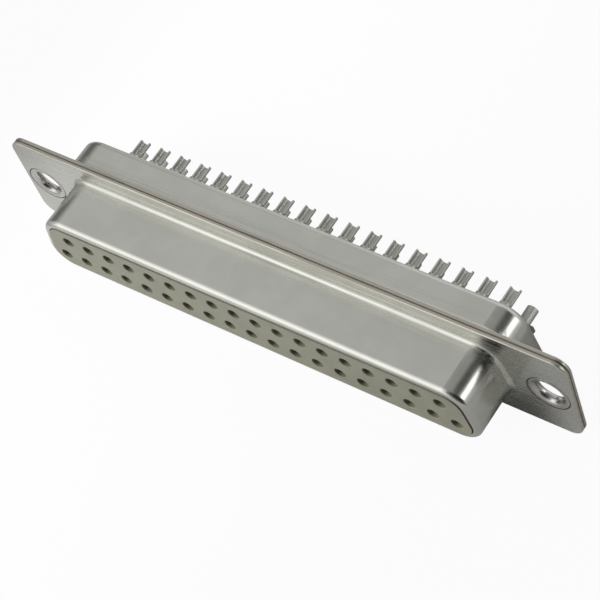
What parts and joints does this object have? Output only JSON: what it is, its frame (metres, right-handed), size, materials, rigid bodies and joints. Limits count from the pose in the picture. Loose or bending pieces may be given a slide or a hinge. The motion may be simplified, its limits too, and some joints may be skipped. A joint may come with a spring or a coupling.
{
  "type": "d-sub connector",
  "caption": "Two-row socket connector in a drawn D-shaped metal shell, with a flange and eyelets for panel screws and open solder cups at the back.",
  "frame": {"origin": "middle of the D shell's root on the flange's front face, halfway between the two panel screw holes", "axes": "+X along the flange's length, -Y out of the mating face, +Z towards the shorter row of contacts"},
  "size_m": [0.0694, 0.0145, 0.0126],
  "materials": {
    "shell_metal": "tin plated, smooth with fine drawing marks",
    "eyelet_metal": "tin plated, rolled",
    "insulator_plastic": "glass-filled, matte",
    "contact_metal": "tin plated, satin"
  },
  "bodies": {
    "root": {"front_shell": "shell_metal", "rear_shell": "shell_metal", "front_insulator": "insulator_plastic", "rear_insulator": "insulator_plastic", "eyelet_left": "eyelet_metal", "eyelet_right": "eyelet_metal", "contact_01": "contact_metal", "contact_02": "contact_metal", "contact_03": "contact_metal", "contact_04": "contact_metal", "contact_05": "contact_metal", "contact_06": "contact_metal", "contact_07": "contact_metal", "contact_08": "contact_metal", "contact_09": "contact_metal", "contact_10": "contact_metal", "contact_11": "contact_metal", "contact_12": "contact_metal", "contact_13": "contact_metal", "contact_14": "contact_metal", "contact_15": "contact_metal", "contact_16": "contact_metal", "contact_17": "contact_metal", "contact_18": "contact_metal", "contact_19": "contact_metal", "contact_20": "contact_metal", "contact_21": "contact_metal", "contact_22": "contact_metal", "contact_23": "contact_metal", "contact_24": "contact_metal", "contact_25": "contact_metal", "contact_26": "contact_metal", "contact_27": "contact_metal", "contact_28": "contact_metal", "contact_29": "contact_metal", "contact_30": "contact_metal", "contact_31": "contact_metal", "contact_32": "contact_metal", "contact_33": "contact_metal", "contact_34": "contact_metal", "contact_35": "contact_metal", "contact_36": "contact_metal", "contact_37": "contact_metal"}
  },
  "joints": []
}
